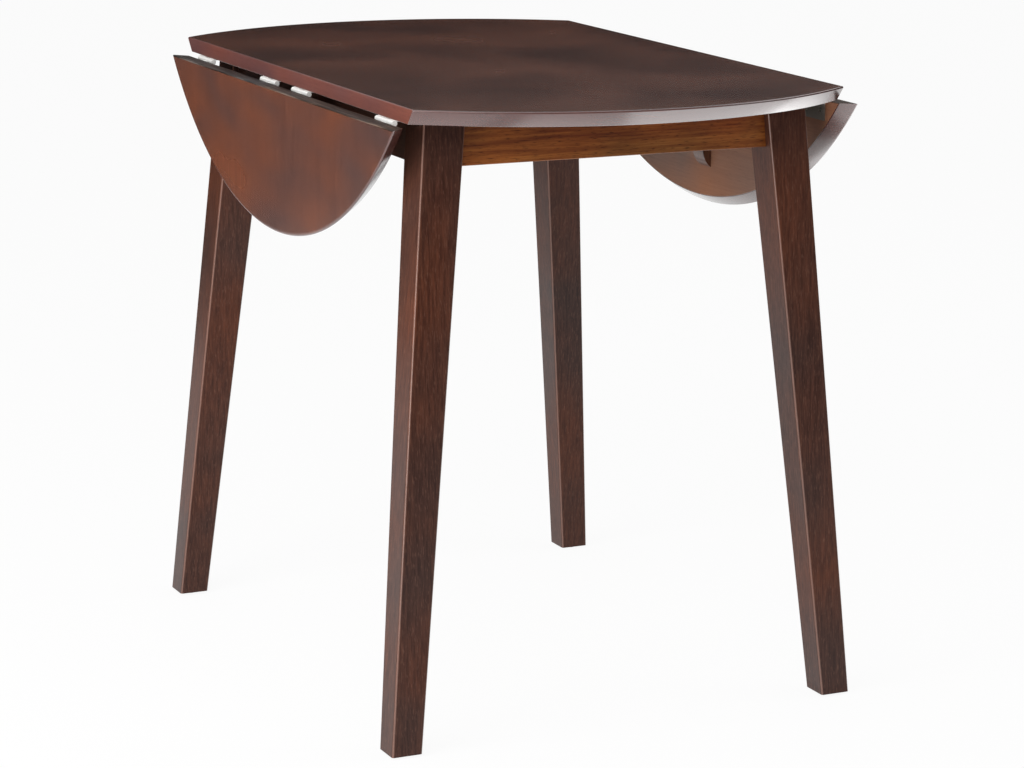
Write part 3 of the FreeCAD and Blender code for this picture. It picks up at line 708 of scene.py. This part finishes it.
def cone(tree, sides, bottom, top, depth):
    """A cone, or a cylinder where both radii are the same."""
    sockets = {"Vertices": sides, "Radius Bottom": bottom, "Radius Top": top, "Depth": depth}
    return add_node(tree, "GeometryNodeMeshCone", sockets).outputs["Mesh"]


def lifted(tree, geometry, height):
    """Geometry moved up by a height."""
    lift = add_node(tree, "ShaderNodeCombineXYZ", {"Z": height}).outputs[0]
    return add_node(tree, "GeometryNodeTransform", {"Geometry": geometry, "Translation": lift}).outputs[0]


def joined(tree, pieces):
    """Several pieces as one geometry."""
    join = add_node(tree, "GeometryNodeJoinGeometry")
    for piece in pieces:
        tree.links.new(piece, join.inputs[0])
    return join.outputs[0]


def set_on_points(tree, size, pattern):
    """The end of a tree: its pattern on every point, turned to the point's way, real and finished."""
    way = add_node(tree, "GeometryNodeInputNamedAttribute", {"Name": "way"}, data_type="FLOAT_VECTOR")
    turn = add_node(
        tree, "FunctionNodeAlignRotationToVector", {"Vector": way.outputs["Attribute"]}, axis="Z"
    ).outputs["Rotation"]
    set_on = add_node(
        tree,
        "GeometryNodeInstanceOnPoints",
        {"Points": size["Geometry"], "Instance": pattern, "Rotation": turn},
    ).outputs["Instances"]
    real = add_node(tree, "GeometryNodeRealizeInstances", {"Geometry": set_on}).outputs[0]
    finished = add_node(
        tree, "GeometryNodeSetMaterial", {"Geometry": real, "Material": size["Finish"]}
    ).outputs[0]
    add_node(tree, "NodeGroupOutput", {"Geometry": finished})


def screw_tree():
    """Screws on points: head, cross recess and tapered shank, all from named sizes."""
    tree, size = sized_tree(
        "cross_recess_screw",
        ("Head Radius", "Neck Radius", "Head Height", "Shank Radius", "Length", "Recess Span"),
    )
    head = cone(tree, HEAD_SIDES, size["Head Radius"], size["Neck Radius"], size["Head Height"])
    slot_width = calculate(tree, "MULTIPLY", size["Recess Span"], SLOT_WIDTH_SHARE)
    slot_depth = calculate(tree, "MULTIPLY", size["Head Height"], SLOT_DEPTH_SHARE)
    slot_size = add_node(
        tree, "ShaderNodeCombineXYZ", {"X": size["Recess Span"], "Y": slot_width, "Z": slot_depth}
    ).outputs[0]
    slot = add_node(tree, "GeometryNodeMeshCube", {"Size": slot_size}).outputs["Mesh"]
    crossed = add_node(
        tree, "GeometryNodeTransform", {"Geometry": slot, "Rotation": (0, 0, math.pi / 2)}
    ).outputs[0]
    recessed = add_node(tree, "GeometryNodeMeshBoolean", {"Mesh 1": head}, operation="DIFFERENCE")
    tree.links.new(slot, recessed.inputs["Mesh 2"])
    tree.links.new(crossed, recessed.inputs["Mesh 2"])
    shank_length = calculate(tree, "SUBTRACT", size["Length"], size["Head Height"])
    tip = calculate(tree, "MULTIPLY", size["Shank Radius"], TIP_SHARE)
    shank = cone(tree, SHANK_SIDES, size["Shank Radius"], tip, shank_length)
    screw = joined(tree, (recessed.outputs["Mesh"], lifted(tree, shank, size["Head Height"])))
    set_on_points(tree, size, screw)
    return tree


cross_recess_screw = screw_tree()
print("screw tree nodes", len(cross_recess_screw.nodes))

# %% [markdown]
# A tree needs an object to work on, so a short-lived one carries the points while the tree runs once. What
# stays is the plain mesh, which can ride on a body like any other piece.


# %% Plain mesh from a tree
def grown(name, tree, points, ways, inputs):
    """The plain mesh that a tree grows on points, each with its own way."""
    seeds = bpy.data.meshes.new(f"{name}_points")
    seeds.from_pydata(points, [], [])
    directions = seeds.attributes.new("way", "FLOAT_VECTOR", "POINT")
    directions.data.foreach_set("vector", [number for way in ways for number in way])
    carrier = bpy.data.objects.new(f"{name}_carrier", seeds)
    bpy.context.scene.collection.objects.link(carrier)
    modifier = carrier.modifiers.new("grow", "NODES")
    modifier.node_group = tree
    for item in tree.interface.items_tree:
        if item.in_out == "INPUT" and item.name in inputs:
            modifier[item.identifier] = inputs[item.name]
    bpy.context.view_layer.update()
    evaluated = carrier.evaluated_get(bpy.context.evaluated_depsgraph_get())
    mesh = bpy.data.meshes.new_from_object(evaluated)
    mesh.name = name
    bpy.data.objects.remove(carrier)
    bpy.data.meshes.remove(seeds)
    mesh.shade_smooth()
    mesh.set_sharp_from_angle(angle=SMOOTH_ANGLE)
    piece = bpy.data.objects.new(name, mesh)
    bpy.context.scene.collection.objects.link(piece)
    print(name, "points", len(points), "faces", len(mesh.polygons))
    return piece


# %% [markdown]
# The hinge screws sit in pairs on their plates, so their places come from the boxes of the hinge pins. A
# leaf's screws point outwards through its hanging plates, and the panel's point up.

# %% Hinge screws
HINGE_PLATE = 1.5 * MM      # how thick it is
SCREW_REACH = 15 * MM       # from the pin to a row of screws
SCREW_SPREAD = 16 * MM      # from the middle of a hinge to each of its screws
LEAF_PLATE_DROP = 2 * MM    # from the pin out to the screw heads of the leaf
HINGE_SCREW = {
    "Head Radius": 3 * MM,
    "Neck Radius": 1.5 * MM,
    "Head Height": HINGE_PLATE,
    "Shank Radius": 1.5 * MM,
    "Length": 12 * MM,
    "Recess Span": 3.4 * MM,
    "Finish": fastener_zinc,
}
HINGE_NAMES = ("rear", "inner_rear", "inner_front", "front")
UP = (0, 0, 1)


def hinge_middles(side):
    """Where one leaf's hinges lie along Y."""
    boxes = [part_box(f"{side}_{hinge}_hinge_pin") for hinge in HINGE_NAMES]
    return [(low.y + high.y) / 2 for low, high in boxes]


def paired(middles):
    """The two screws of each hinge, along Y."""
    return [middle + step for middle in middles for step in (-SCREW_SPREAD, SCREW_SPREAD)]


panel_points = []
for side, sign in (("left", -1), ("right", 1)):
    pin_x = sign * PIN.x
    along = paired(hinge_middles(side))
    panel_points += [(pin_x - sign * SCREW_REACH, y, panel_low.z - HINGE_PLATE) for y in along]
    leaf_points = [(pin_x + sign * LEAF_PLATE_DROP, y, PIN.z - SCREW_REACH) for y in along]
    node_name = f"{side}_leaf_hinge_screws"
    outwards = [(sign, 0, 0)] * len(leaf_points)
    leaf_screws = grown(f"{side}_leaf_plate_screws", cross_recess_screw, leaf_points, outwards, HINGE_SCREW)
    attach(leaf_screws, f"{side}_leaf")
    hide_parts(node_name)
upwards = [UP] * len(panel_points)
panel_screws = grown("panel_plate_screws", cross_recess_screw, panel_points, upwards, HINGE_SCREW)
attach(panel_screws, "frame")
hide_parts("panel_hinge_screws")

# %% [markdown]
# Under the table, round-headed screws go up through the corner blocks and the bridges of the pull-out bars
# into the panel. They come from the same tree: a head that is narrow outside and wide against the wood.

# %% Round-headed screws
ROUND_SCREW = {
    "Head Radius": 3 * MM,
    "Neck Radius": 4.2 * MM,
    "Head Height": 2.8 * MM,
    "Shank Radius": 2.1 * MM,
    "Length": 59.8 * MM,
    "Recess Span": 4.4 * MM,
    "Finish": fastener_zinc,
}
# where the CAD has them, in millimetres from the middle of the table
BLOCK_SCREWS = ((164.66, 285.0), (204.25, 245.4))
BRIDGE_SCREWS = ((97.0, -48.15), (97.0, -3.85))
block_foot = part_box("top_screws")[0].z
bridge_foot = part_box("keeper_screws")[0].z
block_points = [
    (x_side * x * MM, y_side * y * MM, block_foot)
    for x, y in BLOCK_SCREWS
    for x_side in (-1, 1)
    for y_side in (-1, 1)
]
bridge_points = [(turn * x * MM, turn * y * MM, bridge_foot) for x, y in BRIDGE_SCREWS for turn in (-1, 1)]
for name, points, node_name in (
    ("corner_block_screws", block_points, "top_screws"),
    ("bridge_screws", bridge_points, "keeper_screws"),
):
    screws = grown(name, cross_recess_screw, points, [UP] * len(points), ROUND_SCREW)
    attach(screws, "frame")
    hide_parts(node_name)

# %% [markdown]
# ## Hanger bolts
# A hanger bolt has a machine thread at the end that takes the nut. A thread is a ridge that follows a helix,
# so the tree sweeps a small four-sided bar along a spiral and sets it round a plain core. Only the end that
# sticks out of the corner block is threaded: the rest is inside the leg.

# %% Bolt tree
THREAD_STEPS = 24           # for each turn of the helix
RIDGE_SIDES = 4


def bolt_tree():
    """Bolts on points: a plain core, a chamfered end and a helical ridge, all from named sizes."""
    tree, size = sized_tree(
        "threaded_bolt", ("Core Radius", "Ridge Radius", "Thread Length", "Turns", "Chamfer", "Length")
    )
    radius, chamfer = size["Core Radius"], size["Chamfer"]
    core = cone(tree, HEAD_SIDES, radius, radius, calculate(tree, "SUBTRACT", size["Length"], chamfer))
    end = cone(tree, HEAD_SIDES, calculate(tree, "SUBTRACT", radius, chamfer), radius, chamfer)
    helix = add_node(
        tree,
        "GeometryNodeCurveSpiral",
        {
            "Resolution": THREAD_STEPS,
            "Rotations": size["Turns"],
            "Start Radius": radius,
            "End Radius": radius,
            "Height": size["Thread Length"],
        },
    ).outputs["Curve"]
    bar = add_node(
        tree,
        "GeometryNodeCurvePrimitiveCircle",
        {"Resolution": RIDGE_SIDES, "Radius": size["Ridge Radius"]},
    ).outputs["Curve"]
    ridge = add_node(
        tree, "GeometryNodeCurveToMesh", {"Curve": helix, "Profile Curve": bar, "Fill Caps": True}
    ).outputs["Mesh"]
    bolt = joined(tree, (lifted(tree, core, chamfer), end, lifted(tree, ridge, chamfer)))
    set_on_points(tree, size, bolt)
    return tree


threaded_bolt = bolt_tree()
print("bolt tree nodes", len(threaded_bolt.nodes))

# %% [markdown]
# Each leg has one bolt, driven through its corner block at 45 degrees towards the leg. It starts at the end
# that carries the nut, where the CAD has it.

# %% Hanger bolts
BOLT = {
    "Core Radius": 3.45 * MM,
    "Ridge Radius": 0.5 * MM,
    "Thread Length": 27.5 * MM,
    "Turns": 22.0,
    "Chamfer": 0.8 * MM,
    "Length": 77.4 * MM,
    "Finish": fastener_zinc,
}
BOLT_END = (167.49, 248.24, 706.5)     # in millimetres
corners = [(x_side, y_side) for x_side in (-1, 1) for y_side in (-1, 1)]
bolt_points = [tuple(MM * at for at in (x * BOLT_END[0], y * BOLT_END[1], BOLT_END[2])) for x, y in corners]
bolts = grown("leg_hanger_bolts", threaded_bolt, bolt_points, [(x, y, 0) for x, y in corners], BOLT)
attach(bolts, "frame")
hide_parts("hanger_bolts")

# %% [markdown]
# ## Floor, room and light
# The table stands on a plain white floor that runs out to a white room. For the camera and for mirrors
# both are nearly plain white, with a little of the real lighting left in the floor so that the shadow
# stays.

# %% Floor
FLOOR_HALF = 30.0
FLOOR_GLOW = 0.93


def sees_background(tree):
    """1 for camera, mirror and glass rays, 0 for the light that falls on the object."""
    path = add_node(tree, "ShaderNodeLightPath").outputs
    direct = calculate(tree, "MAXIMUM", path["Is Camera Ray"], path["Is Glossy Ray"])
    return calculate(tree, "MAXIMUM", direct, path["Is Transmission Ray"])


def flat_sheet(name, corners, material):
    """One flat rectangle of the stage."""
    mesh = bpy.data.meshes.new(name)
    mesh.from_pydata(corners, [], [(0, 1, 2, 3)])
    mesh.materials.append(material)
    sheet = bpy.data.objects.new(name, mesh)
    bpy.context.scene.collection.objects.link(sheet)
    return sheet


# plain white with a faint shadow
floor_paint, tree = new_material("white_floor_paint")
matt = add_node(tree, "ShaderNodeBsdfDiffuse", {"Color": linear("#efefef")}).outputs[0]
glow = add_node(tree, "ShaderNodeEmission", {"Color": linear("#ffffff"), "Strength": 1.0}).outputs[0]
share = calculate(tree, "MULTIPLY", sees_background(tree), FLOOR_GLOW)
blend = add_node(tree, "ShaderNodeMixShader", {"Fac": share, 1: matt, 2: glow}).outputs[0]
add_node(tree, "ShaderNodeOutputMaterial", {"Surface": blend})
floor_corners = [(x * FLOOR_HALF, y * FLOOR_HALF, 0) for x, y in SQUARE]
floor = flat_sheet("floor", floor_corners, floor_paint)
print("floor made")

# %% [markdown]
# A lacquer is judged by what it mirrors. Dark walls a few metres off keep it deep brown at a low viewing
# angle, and the white floor before them keeps it pale lower down. The walls are hidden from everything but
# glossy rays, so they neither light nor shade the table.


# %% Dark studio walls
def only_in_gloss(sheet):
    """A sheet of the stage that shows only in reflections."""
    sheet.visible_camera = False
    sheet.visible_diffuse = False
    sheet.visible_transmission = False
    sheet.visible_shadow = False


WALL_DISTANCE = 2.4
WALL_FOOT = 0.01
WALL_HEAD = 1.75
# the depth in the lacquer
wall_paint, tree = new_material("dark_studio_wall")
matt = add_node(tree, "ShaderNodeBsdfDiffuse", {"Color": linear("#15110f")}).outputs[0]
add_node(tree, "ShaderNodeOutputMaterial", {"Surface": matt})
for number, (x, y) in enumerate(((0, 1), (1, 0), (0, -1), (-1, 0))):
    ends = [(WALL_DISTANCE * (x + side * y), WALL_DISTANCE * (y + side * x)) for side in (-1, 1)]
    corners = [(*ends[0], WALL_FOOT), (*ends[1], WALL_FOOT), (*ends[1], WALL_HEAD), (*ends[0], WALL_HEAD)]
    only_in_gloss(flat_sheet(f"studio_wall_{number}", corners, wall_paint))
print("walls made")

# %% [markdown]
# A bright panel on the left draws a line of light down the rounded corners of the legs. It is lower than the
# table top, so that the top never mirrors it, and only the gloss sees it.

# %% Bright panel for the corners of the legs
PANEL_MIDDLE = Vector((-2.3, -1.3, 0.36))
PANEL_HALF_WIDTH = 0.8
PANEL_HALF_HEIGHT = 0.34
PANEL_GLOW = 5.0
# the line of light itself
panel_paint, tree = new_material("bright_studio_panel")
glow = add_node(tree, "ShaderNodeEmission", {"Color": linear("#ffffff"), "Strength": PANEL_GLOW}).outputs[0]
add_node(tree, "ShaderNodeOutputMaterial", {"Surface": glow})
panel_paint.cycles.emission_sampling = "NONE"
along = Vector((-PANEL_MIDDLE.y, PANEL_MIDDLE.x, 0)).normalized() * PANEL_HALF_WIDTH
tall = Vector((0, 0, PANEL_HALF_HEIGHT))
panel_corners = [PANEL_MIDDLE + side * along + lift * tall for side, lift in SQUARE]
only_in_gloss(flat_sheet("bright_studio_panel", panel_corners, panel_paint))
print("bright panel made")

# %% [markdown]
# The room is full white where it is seen, and half as bright where it lights the table, so that the lamps
# still give the boards a lit and a shaded side.

# %% World
AMBIENT = 0.5
world = bpy.data.worlds.new("white_room")
bpy.context.scene.world = world
world.use_nodes = True
tree = world.node_tree
tree.nodes.clear()
strength = rescale(tree, sees_background(tree), 0.0, 1.0, AMBIENT, 1.0)
room = add_node(
    tree, "ShaderNodeBackground", {"Color": linear("#ffffff"), "Strength": strength}
).outputs[0]
add_node(tree, "ShaderNodeOutputWorld", {"Surface": room})
print("world made")

# %% [markdown]
# Three large soft lamps do the rest: one high in front on the left, a weaker one on the right, and a low
# one on the left, which lights the hanging leaf and the sides of the legs more than the top and stays out of
# the gloss, so that the top never mirrors it. Four more are seen only in the gloss, for the brightly lit
# floor that the leaning rim mirrors.


# %% Lamps
def soft_lamp(name, place, aim, size, power, spread=180, lights=True, shines=True):
    """A square area lamp that looks at a point, with its spread in degrees.

    One that does not light is seen only in the gloss, and one that does not shine never is.
    """
    light = bpy.data.lights.new(name, "AREA")
    light.shape = "SQUARE"
    light.size = size
    light.energy = power
    light.spread = math.radians(spread)
    lamp = bpy.data.objects.new(name, light)
    lamp.location = place
    lamp.rotation_euler = (Vector(aim) - Vector(place)).to_track_quat("-Z", "Y").to_euler()
    lamp.visible_camera = False
    lamp.visible_diffuse = lights
    lamp.visible_glossy = shines
    bpy.context.scene.collection.objects.link(lamp)


TABLE_MIDDLE = (0, 0, 0.5)
FLOOR_LAMP_HEIGHT = 12 * MM
soft_lamp("main_lamp", (-2.4, -2.6, 3.0), TABLE_MIDDLE, size=2.4, power=55)
soft_lamp("right_lamp", (3.2, -1.2, 2.2), TABLE_MIDDLE, size=2.2, power=30)
soft_lamp("left_lamp", (-2.5, -0.7, 0.9), TABLE_MIDDLE, size=1.6, power=64, shines=False)
# name: middle on the floor x and y, width, power, spread in degrees
FLOOR_LAMPS = {
    "left_floor_lamp": (-0.55, -0.45, 0.5, 0.12, 70),
    "front_floor_lamp": (0.2, -0.66, 0.8, 0.6, 70),
    "front_right_floor_lamp": (0.66, -0.5, 0.9, 4, 126),
    "right_floor_lamp": (1.4, 0.25, 1.0, 12, 126),
}
for name, (x, y, width, power, spread) in FLOOR_LAMPS.items():
    soft_lamp(name, (x, y, FLOOR_LAMP_HEIGHT), (x, y, 1), width, power, spread, lights=False)
print("lamps made")

# %% [markdown]
# ## Camera
# The camera stands where the photograph was taken from: a little left of the front, slightly above the
# table top and some way off, with a long lens. Its place was found by fitting the table's own corners.

# %% Camera
CAMERA_PLACE = Vector((-1.6897, -3.5879, 1.2449))
CAMERA_AZIMUTH = math.radians(-25.51)
CAMERA_ELEVATION = math.radians(12.90)
CAMERA_ROLL = math.radians(0.61)
CAMERA_LENS = 113.1
SENSOR_WIDTH = 36.0

back = Vector((
    math.sin(CAMERA_AZIMUTH) * math.cos(CAMERA_ELEVATION),
    -math.cos(CAMERA_AZIMUTH) * math.cos(CAMERA_ELEVATION),
    math.sin(CAMERA_ELEVATION),
))
level_right = Vector((math.cos(CAMERA_AZIMUTH), math.sin(CAMERA_AZIMUTH), 0))
level_up = back.cross(level_right)
right = level_right * math.cos(CAMERA_ROLL) + level_up * math.sin(CAMERA_ROLL)
up = level_up * math.cos(CAMERA_ROLL) - level_right * math.sin(CAMERA_ROLL)
lens = bpy.data.cameras.new("photo_camera")
lens.sensor_fit = "HORIZONTAL"
lens.sensor_width = SENSOR_WIDTH
lens.lens = CAMERA_LENS
camera = bpy.data.objects.new("photo_camera", lens)
camera.matrix_world = Matrix.Translation(CAMERA_PLACE) @ Matrix((right, up, back)).transposed().to_4x4()
bpy.context.scene.collection.objects.link(camera)
bpy.context.scene.camera = camera
bpy.context.scene.view_settings.view_transform = "Standard"
print("camera at", [round(number, 3) for number in CAMERA_PLACE])
